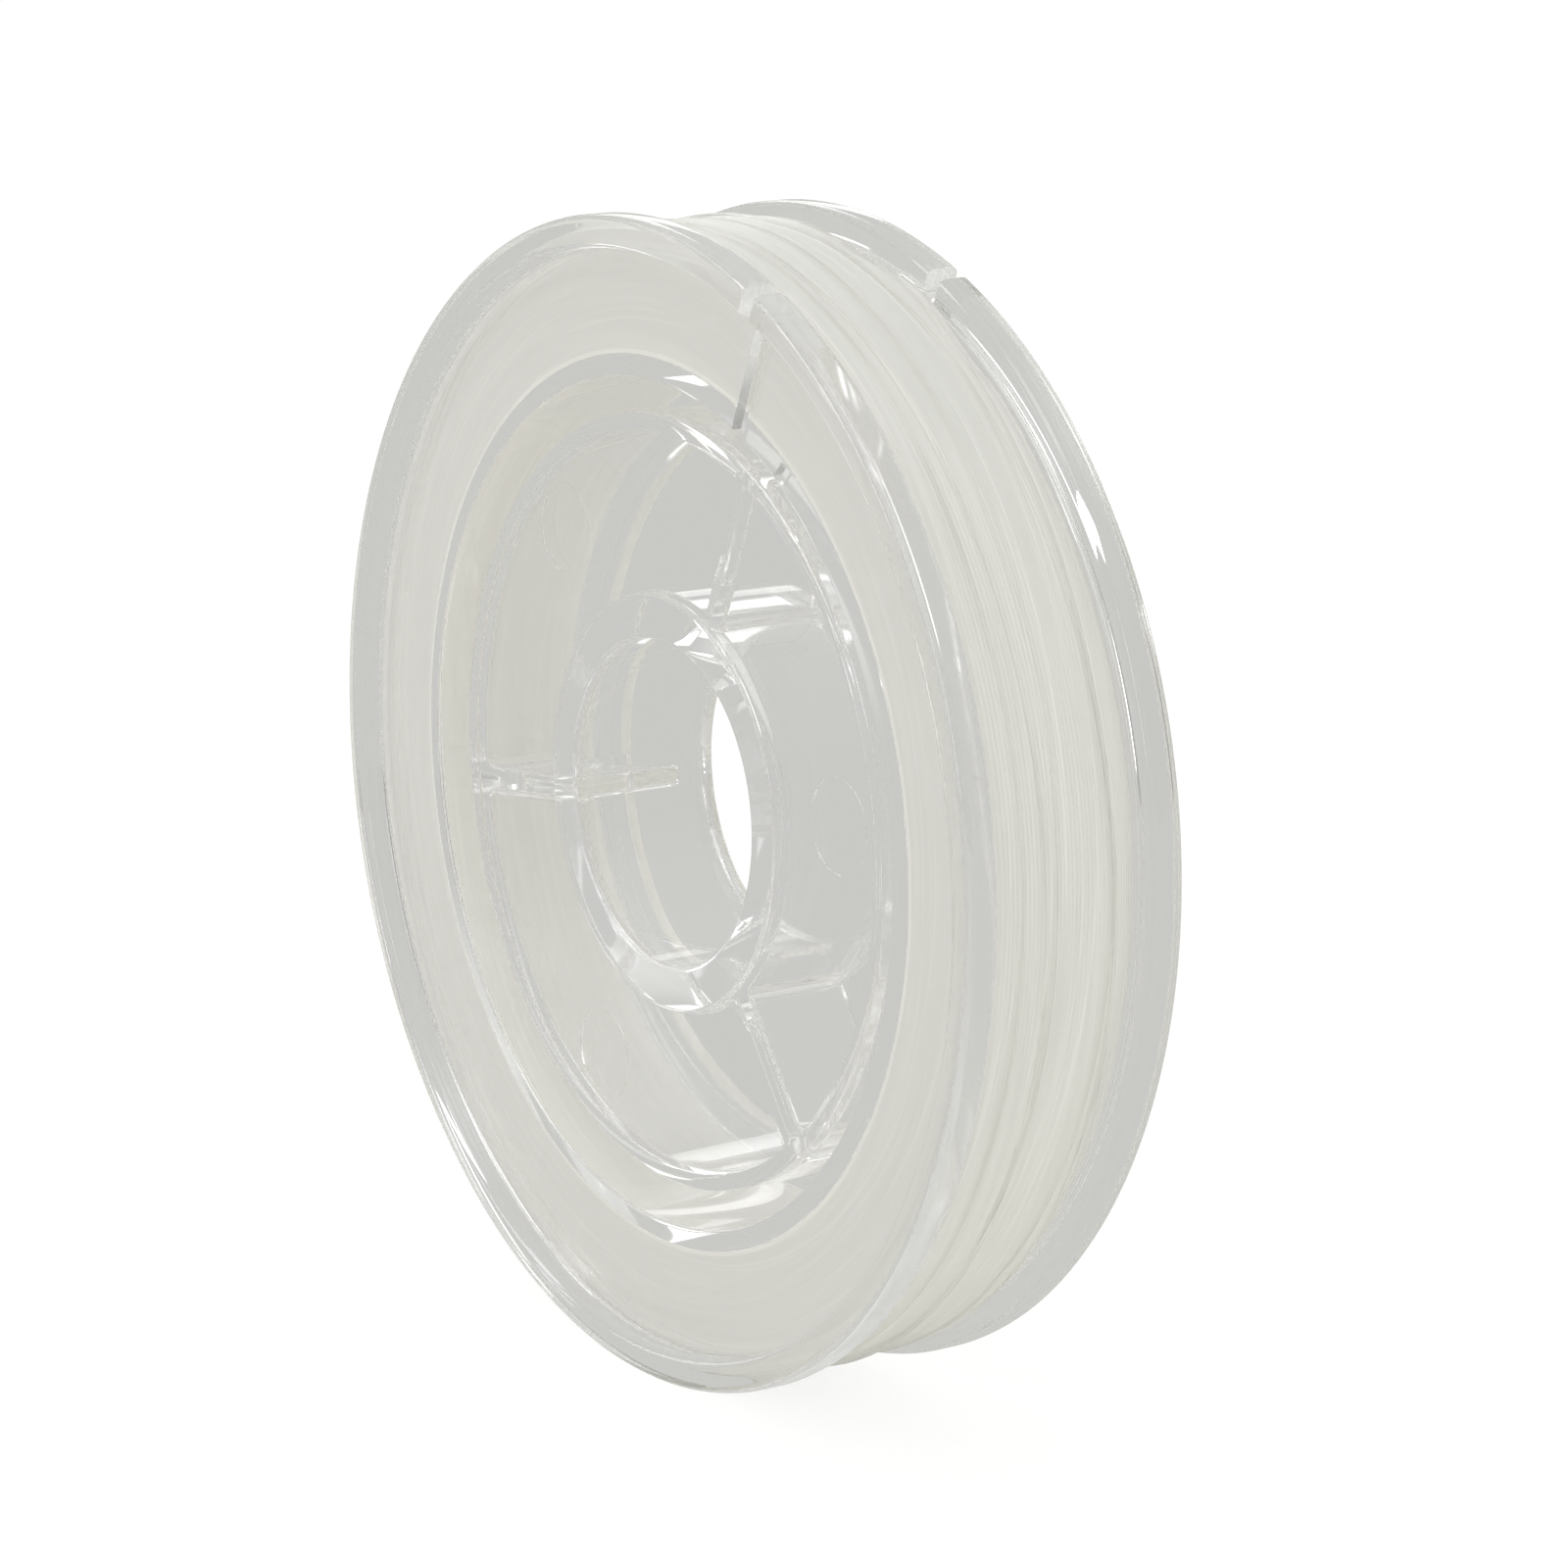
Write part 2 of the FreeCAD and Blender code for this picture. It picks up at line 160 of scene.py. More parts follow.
def turn_outwards(piece):
    """Faces of a closed shell turned outwards."""
    shell = bmesh.new()
    shell.from_mesh(piece.data)
    bmesh.ops.recalc_face_normals(shell, faces=shell.faces)
    shell.to_mesh(piece.data)
    shell.free()


spool_points = turn_about_axis(round_corners([
    (BORE_RADIUS, -HUB_END, HUB_LIP),
    (HUB_OUT, -HUB_END, HUB_LIP),
    (HUB_OUT, WEB_FRONT, 0),
    (RING_IN, WEB_FRONT, 0),
    (RING_IN, RING_FRONT, RING_LIP),
    (RING_OUT, RING_FRONT, EDGE_ROUND),
    (RING_OUT, FLOOR_FRONT, GROOVE_CORNER),
    (OPENING_RADIUS, FLOOR_FRONT, GROOVE_CORNER),
    (OPENING_RADIUS, -FLANGE_OUT, EDGE_ROUND),
    (BEAD_IN, -FLANGE_OUT, BEAD_FOOT),
    (BEAD_IN, -RIM_FACE, BEAD_CORNER),
    (RIM_RADIUS, -RIM_FACE, BEAD_CORNER),
    (RIM_RADIUS, -FLANGE_IN, BEAD_CORNER),
    (DRUM_OUT, -FLANGE_IN, 0),
    (DRUM_OUT, FLANGE_IN, 0),
    (RIM_RADIUS, FLANGE_IN, BEAD_CORNER),
    (RIM_RADIUS, RIM_FACE, BEAD_CORNER),
    (BEAD_IN, RIM_FACE, BEAD_CORNER),
    (BEAD_IN, FLANGE_OUT, BEAD_FOOT),
    (RING_IN, FLANGE_OUT, EDGE_ROUND),
    (RING_IN, WEB_BACK, EDGE_ROUND),
    (HUB_OUT, WEB_BACK, EDGE_ROUND),
    (HUB_OUT, HUB_END, HUB_LIP),
    (BORE_RADIUS, HUB_END, HUB_LIP),
]), MOULDING_COLUMNS)
spool = make_piece("spool_clear", spool_points, grid_faces(*spool_points.shape[:2], True))


def flare(distance, radius):
    """How far a fillet widens a rib at a distance from the wall that it runs into:
    radius - sqrt(radius^2 - (radius - distance)^2)."""
    reach = np.clip(radius - distance, 0, radius)
    return radius - np.sqrt(radius ** 2 - reach ** 2)


def rib_surface(lengthwise=33, arc_steps=5):
    """A rib along +Z. At distance s from the axis its half width is half the thickness
    plus the flares at hub and ring. Its section climbs from inside the web by a quarter
    arc out of the foot and ends in a quarter arc round the back edge."""
    s = np.linspace(HUB_OUT - HUB_WALL / 2, RING_IN + RING_WALL / 2, lengthwise)
    half = (RIB_THICKNESS / 2 + flare(np.clip(RING_IN - s, 0, 1), RIB_RING_FILLET)
            + flare(np.clip(s - HUB_OUT, 0, 1), RIB_HUB_FILLET))
    t = np.linspace(0, math.pi / 2, arc_steps)
    low = np.linspace(RIB_FOOT_START, math.pi / 2, arc_steps)
    foot = 1 - np.sin(low)
    across = np.concatenate([foot[:1] * RIB_FOOT_FILLET, foot * RIB_FOOT_FILLET,
                             (np.cos(t) - 1) * RIB_BACK_ROUND])
    y = np.concatenate([[(WEB_FRONT + WEB_BACK) / 2],
                        WEB_BACK + RIB_FOOT_FILLET * (1 - np.cos(low)),
                        RIB_BACK - RIB_BACK_ROUND * (1 - np.sin(t))])
    side = half[:, None] + across
    x = np.concatenate([side, -side[:, ::-1]], axis=1)
    y = np.concatenate([y, y[::-1]])
    return np.stack([x, y + 0 * x, s[:, None] + 0 * x], axis=-1)


def block(half_width, low_y, high_y, low_z, high_z):
    """The eight corners of a block along +Z, as a grid of two rows of four."""
    x = half_width * np.array([-1, 1, 1, -1])
    y = np.array([low_y, low_y, high_y, high_y])
    z = np.array([[low_z], [high_z]])
    return np.stack([x + 0 * z, y + 0 * z, z + 0 * x], axis=-1)


def plug(radius, low_y, high_y, at_z, columns=64):
    """A short round plug along Y: (radius cos a, y, at_z + radius sin a)."""
    angle = np.linspace(0, math.tau, columns, endpoint=False)
    y = np.array([[low_y], [high_y]])
    return np.stack([radius * np.cos(angle) + 0 * y, y + 0 * angle,
                     at_z + radius * np.sin(angle) + 0 * y], axis=-1)


def turned_by(points, angle):
    """Points turned clockwise about the axis, seen from the front, by an angle a:
    (x cos a + z sin a, y, z cos a - x sin a)."""
    x, y, z = points[..., 0], points[..., 1], points[..., 2]
    return np.stack([x * math.cos(angle) + z * math.sin(angle), y,
                     z * math.cos(angle) - x * math.sin(angle)], axis=-1)


def capped_faces(rows, columns, first=0):
    """Faces of a grid whose rows are closed loops, with a cap on each end row."""
    faces = [list(face) for face in grid_faces(rows, columns, False) + first]
    faces.append(list(range(first, first + columns))[::-1])
    faces.append(list(range(first + (rows - 1) * columns, first + rows * columns)))
    return faces


def combine(piece, shells, operation):
    """Adds or cuts closed shells, and keeps the result as the piece's own mesh."""
    faces, count = [], 0
    for shell in shells:
        faces += capped_faces(*shell.shape[:2], count)
        count += shell.shape[0] * shell.shape[1]
    other = make_piece("shells", np.concatenate([shell.reshape(-1, 3) for shell in shells]), faces)
    turn_outwards(other)
    step = piece.modifiers.new("combine", "BOOLEAN")
    step.object = other
    step.operation = operation
    step.solver = "EXACT"
    bpy.context.view_layer.update()
    graph = bpy.context.evaluated_depsgraph_get()
    result = bpy.data.meshes.new_from_object(piece.evaluated_get(graph))
    piece.modifiers.remove(step)
    piece.data = result
    bpy.data.objects.remove(other)


rib_angles = [SLIT_ANGLE + k * math.tau / RIB_COUNT for k in range(RIB_COUNT)]
combine(spool, [turned_by(rib_surface(), angle) for angle in rib_angles], "UNION")

front_slit = block(SLIT_WIDTH / 2, -RIM_FACE - OVERCUT, -FLANGE_IN,
                   OPENING_RADIUS - GROOVE_GAP / 2, RIM_RADIUS + OVERCUT)
rear_slit = block(SLIT_WIDTH / 2, FLANGE_IN, RIM_FACE + OVERCUT,
                  OPENING_RADIUS + DRUM_WALL / 2, RIM_RADIUS + OVERCUT)
pin_mark = plug(PIN_MARK_RADIUS, WEB_FRONT - PIN_MARK_DEPTH, WEB_FRONT + PIN_MARK_DEPTH,
                PIN_MARK_CIRCLE)
combine(spool, [turned_by(front_slit, SLIT_ANGLE), turned_by(rear_slit, SLIT_ANGLE)]
        + [turned_by(pin_mark, angle + math.pi / RIB_COUNT) for angle in rib_angles],
        "DIFFERENCE")

spool.data.shade_smooth()
spool.data.set_sharp_from_angle(angle=SHARP_EDGE)
weighted = spool.modifiers.new("weighted", "WEIGHTED_NORMAL")
weighted.keep_sharp = True
weighted.weight = FLAT_FACES_WEIGHT


class Socket:
    """A shader socket that takes part in sums: a + b, 2 * a and so on add Math nodes."""

    def __init__(self, tree, output=None):
        self.tree = tree
        self.output = output

    def node(self, kind, settings, inputs, output=0):
        """Adds a node: its settings, then its inputs as values or links."""
        made = self.tree.nodes.new(kind)
        for name, setting in settings.items():
            setattr(made, name, setting)
        for name, entry in inputs.items():
            self.feed(made.inputs[name], entry)
        return Socket(self.tree, made.outputs[output])

    def feed(self, target, entry):
        """Links a socket into an input, or sets the input to a value."""
        if isinstance(entry, Socket):
            self.tree.links.new(entry.output, target)
        else:
            target.default_value = entry

    def part(self, output):
        """Another output of the node this socket comes from."""
        return Socket(self.tree, self.output.node.outputs[output])

    def math(self, operation, *others):
        """A Math node on this value and others, in that order."""
        return self.node("ShaderNodeMath", {"operation": operation},
                         dict(enumerate((self, *others))))

    def __add__(self, other):
        return self.math("ADD", other)

    def __radd__(self, other):
        return self.math("ADD", other)

    def __sub__(self, other):
        return self.math("SUBTRACT", other)

    def __rsub__(self, other):
        return self.node("ShaderNodeMath", {"operation": "SUBTRACT"}, {0: other, 1: self})

    def __mul__(self, other):
        return self.math("MULTIPLY", other)

    def __rmul__(self, other):
        return self.math("MULTIPLY", other)

    def noise(self, vector, scale, detail=2.0):
        """Noise over a vector, from 0 to 1."""
        return self.node("ShaderNodeTexNoise", {}, {"Vector": vector, "Scale": scale, "Detail": detail})

    def ramp(self, value, start, end, height):
        """Climbs smoothly from 0 to a height while a value goes from start to end."""
        return self.node("ShaderNodeMapRange", {"interpolation_type": "SMOOTHSTEP"}, {
            "Value": value, "From Min": start, "From Max": end, "To Min": 0.0, "To Max": height})

    def blend(self, amount, first, second, kind="MIX"):
        """A colour made of two, as a Mix node."""
        return self.node("ShaderNodeMix", {"data_type": "RGBA", "blend_type": kind},
                         {0: amount, 6: first, 7: second}, 2)

    def place(self):
        """Object coordinates, which stay with the piece."""
        return self.node("ShaderNodeTexCoord", {}, {}, "Object")

    def along(self, axis):
        """One part of a vector: X, Y or Z."""
        return self.node("ShaderNodeSeparateXYZ", {}, {0: self}, axis)

    def from_axis(self):
        """How far a place is from the spool's axis: sqrt(x^2 + z^2)."""
        x, z = self.along("X"), self.along("Z")
        return (x * x + z * z).math("SQRT")


def new_material(name):
    """A material with nodes, a starting socket for its tree, and its Principled node."""
    material = bpy.data.materials.new(name)
    material.use_nodes = True
    return material, Socket(material.node_tree), material.node_tree.nodes["Principled BSDF"]


clear_polystyrene, start, shader = new_material("clear_polystyrene")
place = start.place()
rear_lip = (place.from_axis().math("LESS_THAN", BORE_RADIUS + TRIMMED_LIP)
            * place.along("Y").math("GREATER_THAN", HUB_END - TRIMMED_LENGTH))
trimmed = start.noise(place, TRIM_SCALE).math("GREATER_THAN", 0.5) * rear_lip
worn = POLISH + WEAR * start.noise(place, WEAR_SCALE)
bump = start.node("ShaderNodeBump", {}, {
    "Strength": RIPPLE, "Distance": RIPPLE_HEIGHT, "Height": start.noise(place, RIPPLE_SCALE)})
start.feed(shader.inputs["Base Color"], (1, 1, 1, 1))
start.feed(shader.inputs["Roughness"], worn + TRIM_MARKS * trimmed)
start.feed(shader.inputs["IOR"], POLYSTYRENE_INDEX)
start.feed(shader.inputs["Transmission Weight"], 1.0)
start.feed(shader.inputs["Normal"], bump)
spool.data.materials.clear()
spool.data.materials.append(clear_polystyrene)
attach(spool, "root")
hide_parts("spool_moulding")

# The wound line is clear nylon. Over a thousand turns look milky in the mass, and this
# section is that mass: it fills the channel from the drum to just under the outer
# layer, whose slow unevenness and waves beside the rear slit it follows.
LINE = 0.00024
WOUND_END = FLANGE_IN - 0.00005
DRUM_GAP = 0.00005
UNDER_SURFACE = 0.4 * LINE
SURFACE_Y = [-0.0049, -0.0040, -0.0010, 0.0020, 0.0032, 0.0039, 0.0045, 0.0049]
SURFACE_R = [0.03265, 0.03280, 0.03290, 0.03285, 0.03275, 0.03245, 0.03195, 0.03165]
# Height in metres, waves round the spool, and turn of phase per metre along its axis
UNEVENNESS = [(0.00003, 3, 900), (0.00002, 7, -1500), (0.000015, 13, 2600)]
# Height in metres, and place and width in degrees clockwise from the slit
SLIT_WAVES = [(0.00045, 0, 4.5), (-0.00025, -9, 3.0), (0.00030, -17, 5.0), (-0.00022, 9, 4.0)]
SLIT_WAVES_FROM = 0.0025
SLIT_WAVES_WIDTH = 0.002
# Painted shade: the faces of the mass against the flanges, and near the drum, get darker copies of the
# milky colour for the dimmer light that reaches them through the clear walls.
BY_FLANGE = 0.00004
BY_DRUM = 0.0003
MILKY = (0.755, 0.755, 0.737, 1)
PAINTED_SHADE_BY_FLANGE = (0.625, 0.623, 0.602, 1)
PAINTED_SHADE_BY_DRUM = (0.71, 0.706, 0.675, 1)
DARK_STREAK = (0.94, 0.94, 0.94, 1)
LIGHT_STREAK = (1.06, 1.06, 1.06, 1)
# Changes per metre across and along the streaks, and the tilt of their planes
SOFT_ACROSS, SOFT_ALONG, SOFT_TILT = 2200, 60, 0.06
BRIGHT_ACROSS, BRIGHT_ALONG, BRIGHT_TILT_X, BRIGHT_TILT_Z = 4500, 40, 0.03, 0.05
# Painted highlights: where the second noise passes these values it is lifted by this much, drawing
# bright lines along single turns.
PAINTED_HIGHLIGHT_FROM, PAINTED_HIGHLIGHT_TO, PAINTED_HIGHLIGHT_LIFT = 0.56, 0.72, 0.5
MILKY_ROUGHNESS = 0.35
SHOULDER_EDGE = math.radians(40)


def surface_radius(angle, y):
    """Outer radius of the outer layer: a profile over y, plus a few sine waves of the
    angle and y, plus bell curves of the angle beside the rear slit, where the last
    turns gather. Those fade in over the shoulder by a ramp in y."""
    uneven = sum(height * np.sin(waves * angle + phase * y) for height, waves, phase in UNEVENNESS)
    away = np.degrees((angle - SLIT_ANGLE + math.pi) % math.tau - math.pi)
    gathered = sum(height * np.exp(-((away - at) / width) ** 2) for height, at, width in SLIT_WAVES)
    shoulder = np.clip((y - SLIT_WAVES_FROM) / SLIT_WAVES_WIDTH, 0, 1)
    return np.interp(y, SURFACE_Y, SURFACE_R) + uneven + gathered * shoulder


def mass_of_line(rows=61, columns=360):
    """A ring of (r sin a, y, r cos a): its outer rows follow the outer layer's underside
    from flange to flange, and two inner rows lie on the drum."""
    angle = np.linspace(0, math.tau, columns, endpoint=False)[None, :]
    y = np.linspace(-WOUND_END, WOUND_END, rows)[:, None]
    inner = np.full((2, columns), DRUM_OUT + DRUM_GAP)
    radius = np.concatenate([surface_radius(angle, y) - UNDER_SURFACE, inner])
    y = np.concatenate([y, [[WOUND_END], [-WOUND_END]]])
    return np.stack([radius * np.sin(angle), y + 0 * angle, radius * np.cos(angle)], axis=-1)


def streaks_and_painted_highlights(place):
    """Streaks that run round with the line: noise that changes fast with radius + y, in
    planes tilted a little to the axis, and slowly with x and z. A second such noise, in
    planes tilted more, is lifted to bright lines: painted highlights along single turns."""
    x, y, z, radius = place.along("X"), place.along("Y"), place.along("Z"), place.from_axis()
    across = (radius + y + SOFT_TILT * x) * SOFT_ACROSS
    soft = place.node("ShaderNodeCombineXYZ", {}, {0: x * SOFT_ALONG, 1: across, 2: z * SOFT_ALONG})
    across = (radius + y - BRIGHT_TILT_Z * z - BRIGHT_TILT_X * x) * BRIGHT_ACROSS
    bright = place.node("ShaderNodeCombineXYZ", {}, {
        0: x * BRIGHT_ALONG, 1: across, 2: z * BRIGHT_ALONG})
    # Painted highlights: bright lines lifted out of the second noise.
    lines = place.ramp(place.noise(bright, 1.0, 1.0), PAINTED_HIGHLIGHT_FROM, PAINTED_HIGHLIGHT_TO, PAINTED_HIGHLIGHT_LIFT)
    return place.noise(soft, 1.0, 3.0) + lines


bulk_points = mass_of_line()
bulk = make_piece("line_bulk", bulk_points, grid_faces(*bulk_points.shape[:2], True))
bulk.data.shade_smooth()
bulk.data.set_sharp_from_angle(angle=SHOULDER_EDGE)
wound_nylon, start, shader = new_material("wound_nylon")
place = start.place()
# Painted shade: the mass is darker in a thin zone beside each flange and near the drum.
flange_shade_mask = place.along("Y").math("ABSOLUTE").math("GREATER_THAN", WOUND_END - BY_FLANGE)
drum_shade_mask = place.from_axis().math("LESS_THAN", DRUM_OUT + BY_DRUM)
colour = start.blend(flange_shade_mask, MILKY, PAINTED_SHADE_BY_FLANGE)
colour = start.blend(drum_shade_mask, colour, PAINTED_SHADE_BY_DRUM)
# The base colour is multiplied by the streak tone and by the painted highlight lines.
shade = start.blend(streaks_and_painted_highlights(place), DARK_STREAK, LIGHT_STREAK)
start.feed(shader.inputs["Base Color"], start.blend(1.0, colour, shade, "MULTIPLY"))
start.feed(shader.inputs["Roughness"], MILKY_ROUGHNESS)
bulk.data.materials.append(wound_nylon)
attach(bulk, "root")
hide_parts("line_core")

# The outer layer is one unbroken length of the same line. It winds side by side from
# the front flange to the rear one, crosses back over itself in a few long turns,
# returns, and its end is bent into the rear slit.
LAYER_TURNS = 38
CROSSING_TURNS = 3.4
RETURNING_TURNS = 2.6
STEPS_PER_TURN = 144
STRAND_SIDES = 12
CROSSING_Y = -0.0032
SLIT_Y = 0.0046
CROSSING_LIFT = 0.3 * LINE
# The first lift is complete after a quarter turn, the second a sixth of the way home
FIRST_RISE = 4
SECOND_RISE = 6
# Height in metres, waves round the spool, and phase
WANDERING = [(0.00004, 2, 0.5), (0.00003, 5, 1.0), (0.00002, 11, 0)]
END_BEND = 0.0005
END_RADIUS = 0.032
END_Y = 0.0059
BEND_POINTS = 12
TAIL_POINTS = 6
CLEAR_STREAKS = (0.94, 0.94, 0.93, 1), (1, 1, 0.995, 1)
CLEAR_ROUGHNESS = 0.15
# Low, because each turn touches the next and light passes between them almost straight
CLEAR_INDEX = 1.15


def eased(share):
    """From 0 to 1 along half a cosine wave."""
    return (1 - np.cos(math.pi * share)) / 2


def strand_path():
    """Centre line (r sin a, y, r cos a) for a running angle a. The layer climbs by one
    pitch a turn with a few sine waves on it, the crossing turns follow two half cosine
    waves, each lifted over what it crosses, and a quarter arc bends the end to +Y."""
    total = LAYER_TURNS + CROSSING_TURNS + RETURNING_TURNS
    turn = np.linspace(0, total, round(total * STEPS_PER_TURN) + 1)
    short_of_slit = math.asin(END_BEND / END_RADIUS)
    angle = SLIT_ANGLE - short_of_slit + (turn - total) * math.tau
    layer = np.clip(turn / LAYER_TURNS, 0, 1)
    over = np.clip((turn - LAYER_TURNS) / CROSSING_TURNS, 0, 1)
    home = np.clip((turn - LAYER_TURNS - CROSSING_TURNS) / RETURNING_TURNS, 0, 1)
    wander = sum(height * np.sin(waves * angle + phase) for height, waves, phase in WANDERING)
    flange = WOUND_END - LINE / 2
    side_by_side = flange * (2 * layer - 1) + wander * np.sin(layer * math.pi)
    there = flange + (CROSSING_Y - flange) * eased(over)
    back = CROSSING_Y + (SLIT_Y - CROSSING_Y) * eased(home)
    y = np.where(home > 0, back, np.where(turn < LAYER_TURNS, side_by_side, there))
    lift = CROSSING_LIFT * (np.clip((turn - LAYER_TURNS) * FIRST_RISE, 0, 1)
                            + np.clip(home * SECOND_RISE, 0, 1))
    radius = surface_radius(angle, y) - LINE / 2 + lift
    wound = np.stack([radius * np.sin(angle), y, radius * np.cos(angle)], axis=-1)
    onward = np.array([math.cos(angle[-1]), 0, -math.sin(angle[-1])])
    rearward = np.array([0, 1.0, 0])
    sweep = np.linspace(0, math.pi / 2, BEND_POINTS)[1:, None]
    corner = wound[-1] + END_BEND * (np.sin(sweep) * onward + (1 - np.cos(sweep)) * rearward)
    onto = np.linspace(0, 1, TAIL_POINTS)[1:, None]
    tail = corner[-1] + onto * rearward * (END_Y - corner[-1][1])
    return np.concatenate([wound, corner, tail])


def tube(path, radius, sides):
    """Rings round a path: path + radius * (cos b * outward + sin b * across), where
    outward points from the axis, made square to the direction of travel, and across is
    the cross product of the two."""
    travel = np.gradient(path, axis=0)
    travel /= np.linalg.norm(travel, axis=1, keepdims=True)
    outward = path * np.array([1, 0, 1])
    outward -= travel * (outward * travel).sum(1, keepdims=True)
    outward /= np.linalg.norm(outward, axis=1, keepdims=True)
    across = np.cross(travel, outward)
    b = np.linspace(0, math.tau, sides, endpoint=False)[None, :, None]
    return path[:, None] + radius * (np.cos(b) * outward[:, None] + np.sin(b) * across[:, None])


strand_points = tube(strand_path(), LINE / 2, STRAND_SIDES)
strand = make_piece("line_strand", strand_points, capped_faces(*strand_points.shape[:2]))
strand.data.shade_smooth()
turn_outwards(strand)
clear_nylon, start, shader = new_material("clear_nylon")
# The strand's tint takes the same streak tone and painted highlight lines.
streaks = start.blend(streaks_and_painted_highlights(start.place()), *CLEAR_STREAKS)
start.feed(shader.inputs["Base Color"], streaks)
start.feed(shader.inputs["Roughness"], CLEAR_ROUGHNESS)
start.feed(shader.inputs["IOR"], CLEAR_INDEX)
start.feed(shader.inputs["Transmission Weight"], 1.0)
strand.data.materials.append(clear_nylon)
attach(strand, "root")
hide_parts("line_turns")

# The floor is white paper. Seen directly it is white with a faint shadow. Light that it
# scatters is its own, and what is seen through the clear plastic or mirrored in it is
# the even grey of the studio's air.
FLOOR_REACH = 3.0
PAPER = (0.97, 0.96, 0.92, 1)
PAPER_ROUGHNESS = 0.9
PAPER_GLOW = 1.04
GLOW_SHARE = 0.8
STUDIO_GREY = 0.58
GREY_TINT = (1, 1, 0.97, 1)

corners = FLOOR_REACH * np.array([(-1, -1, 0), (1, -1, 0), (1, 1, 0), (-1, 1, 0)])
floor = make_piece("floor", corners + [0, 0, -RIM_RADIUS], [(0, 1, 2, 3)])
paper, start, shader = new_material("paper")
start.feed(shader.inputs["Base Color"], PAPER)
start.feed(shader.inputs["Roughness"], PAPER_ROUGHNESS)
lit = Socket(start.tree, shader.outputs[0])
white = start.node("ShaderNodeEmission", {}, {"Strength": PAPER_GLOW})
grey = start.node("ShaderNodeEmission", {}, {"Strength": STUDIO_GREY, "Color": GREY_TINT})
direct = start.node("ShaderNodeLightPath", {}, {}, "Is Camera Ray")
lighting = direct.part("Diffuse Depth").math("GREATER_THAN", 0.5)
seen = start.node("ShaderNodeMixShader", {}, {0: GLOW_SHARE, 1: lit, 2: white})
other = start.node("ShaderNodeMixShader", {}, {0: lighting, 1: grey, 2: lit})
surface = start.node("ShaderNodeMixShader", {}, {0: direct, 1: other, 2: seen})
start.feed(start.tree.nodes["Material Output"].inputs[0], surface)
paper.cycles.emission_sampling = "NONE"
floor.data.materials.append(paper)

# The studio behind the object is white where it is seen directly, and lights the object
# evenly. Bent and mirrored sight finds a grey tent, brighter overhead and darker where
# the camera stands.
TENT_TINT = (1, 0.998, 0.97, 1)
DAYLIGHT = 0.95
OVERHEAD = (0, 0, 1)
CAMERA_SIDE = (0.815, -0.532, 0.23)
# How much is added or taken, and between which two cosines to a direction it sets in
ROOF, ROOF_FROM, ROOF_TO = 0.18, 0.3, 0.8
GLOOM, GLOOM_FROM, GLOOM_TO = 0.24, 0.5, 0.95

world = bpy.data.worlds.new("studio")
bpy.context.scene.world = world
world.use_nodes = True
sky = Socket(world.node_tree)
direct = sky.node("ShaderNodeLightPath", {}, {}, "Is Camera Ray")
lighting = direct.part("Diffuse Depth").math("GREATER_THAN", 0.5)
toward = sky.node("ShaderNodeTexCoord", {}, {}, "Generated")
upward = sky.node("ShaderNodeVectorMath", {"operation": "DOT_PRODUCT"},
                  {0: toward, 1: OVERHEAD}, "Value")
cameraward = sky.node("ShaderNodeVectorMath", {"operation": "DOT_PRODUCT"},
                      {0: toward, 1: CAMERA_SIDE}, "Value")
tent = (STUDIO_GREY + sky.ramp(upward, ROOF_FROM, ROOF_TO, ROOF)
        - sky.ramp(cameraward, GLOOM_FROM, GLOOM_TO, GLOOM))
shown = tent + (1 - tent) * direct
shown = shown + (DAYLIGHT - shown) * lighting
background = world.node_tree.nodes["Background"]
sky.feed(background.inputs["Strength"], shown)
sky.feed(background.inputs["Color"], sky.blend(direct, TENT_TINT, (1, 1, 1, 1)))
world.cycles.sampling_method = "NONE"

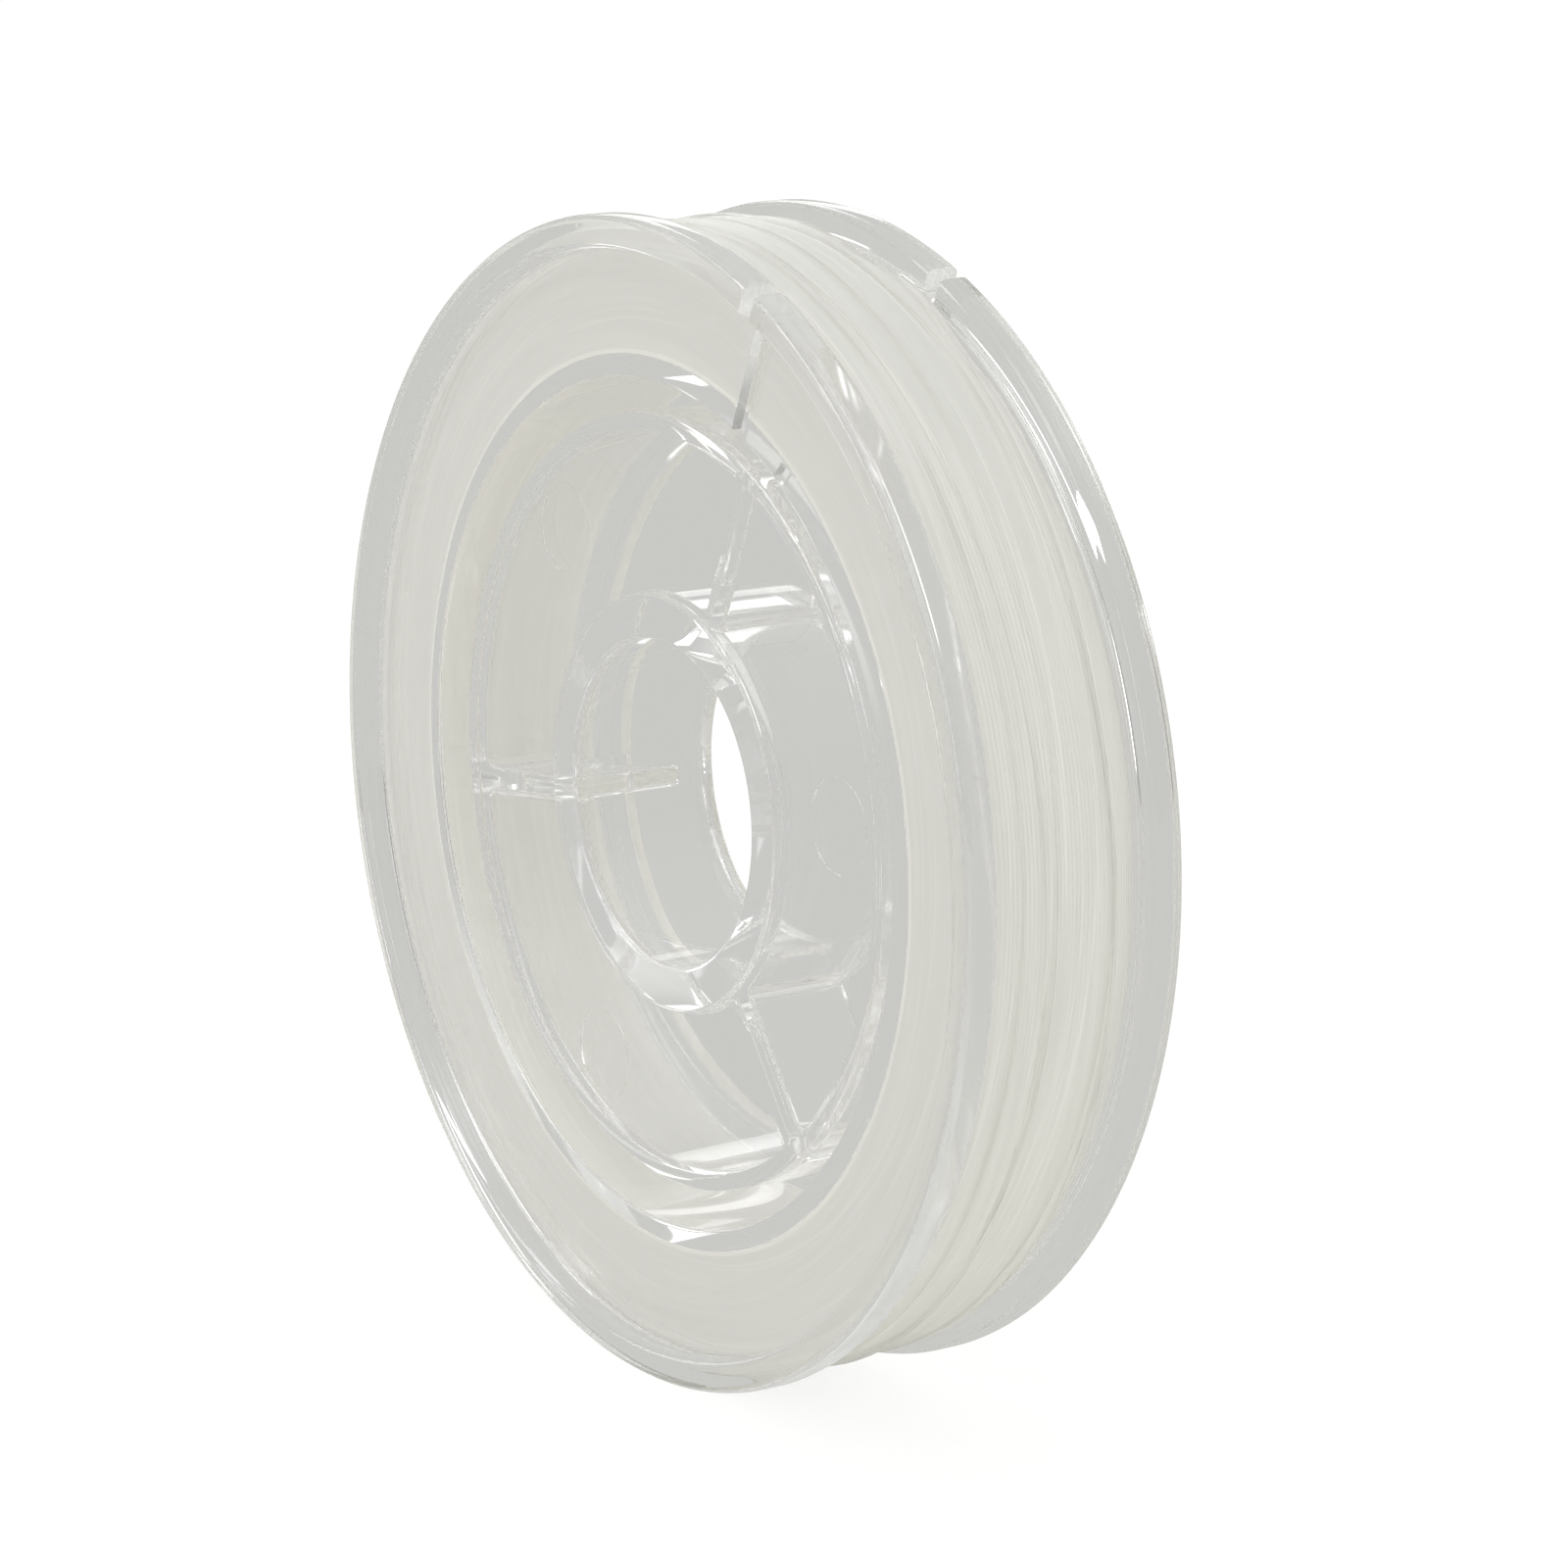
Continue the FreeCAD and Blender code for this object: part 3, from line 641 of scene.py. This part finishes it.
# Six soft lamps stand round the object and face it: name, place and size in metres,
# and power in watts. The large one lights the line, and the others, dim and far off,
# draw the bright lines along the clear edges.
LAMPS = [
    ("key_softbox", (0.15, -0.35, 0.65), (0.35, 0.35), 0.5),
    ("left_strip", (-0.45, -0.55, 0.2), (0.1, 0.5), 0.5),
    ("rear_strip", (-0.5, 0.7, 0.12), (0.05, 0.3), 0.1),
    ("upper_panel", (-0.65, 0.25, 0.42), (0.25, 0.25), 0.35),
    ("front_strip", (0.25, -0.75, 0.16), (0.1, 0.3), 0.3),
    ("back_panel", (-0.70, 0.44, 0.22), (0.2, 0.16), 0.11),
]

for name, place, size, power in LAMPS:
    lamp = bpy.data.lights.new(name, "AREA")
    lamp.shape = "RECTANGLE"
    lamp.size, lamp.size_y = size
    lamp.energy = power
    stand = bpy.data.objects.new(name, lamp)
    stand.location = place
    stand.rotation_euler = (-Vector(place)).to_track_quat("-Z", "Y").to_euler()
    bpy.context.scene.collection.objects.link(stand)

# The camera stands to the right of the front face and a little above it, close enough
# for the rear rim to look smaller than the front one.
AZIMUTH = math.radians(56.89)
ELEVATION = math.radians(13.27)
DISTANCE = 0.280
SENSOR = 36
FOCAL_PIXELS = 4980.79
PHOTO_PIXELS = 1600
NEAREST = 0.01
AIM_RIGHT = 0.0027
AIM_UP = 0.00049
AIM_REAR = 0.00042

back = Vector((math.sin(AZIMUTH) * math.cos(ELEVATION),
               -math.cos(AZIMUTH) * math.cos(ELEVATION), math.sin(ELEVATION)))
right = Vector((math.cos(AZIMUTH), math.sin(AZIMUTH), 0))
up = back.cross(right)
lens = bpy.data.cameras.new("camera")
lens.sensor_width = SENSOR
lens.lens = SENSOR * FOCAL_PIXELS / PHOTO_PIXELS
lens.clip_start = NEAREST
camera = bpy.data.objects.new("camera", lens)
camera.location = back * DISTANCE + right * AIM_RIGHT + up * AIM_UP + Vector((0, AIM_REAR, 0))
camera.rotation_euler = (-back).to_track_quat("-Z", "Y").to_euler()
bpy.context.scene.collection.objects.link(camera)
bpy.context.scene.camera = camera

# Light caught between the clear walls turns many times before it leaves, so it may
# bounce often, and no filter takes its sharp reflections away.
CLEAR_BOUNCES = 400
MILKY_BOUNCES = 8

cycles = bpy.context.scene.cycles
cycles.blur_glossy = 0.0
cycles.max_bounces = CLEAR_BOUNCES
cycles.diffuse_bounces = MILKY_BOUNCES
cycles.glossy_bounces = CLEAR_BOUNCES
cycles.transmission_bounces = CLEAR_BOUNCES
bpy.context.scene.view_settings.view_transform = "Standard"
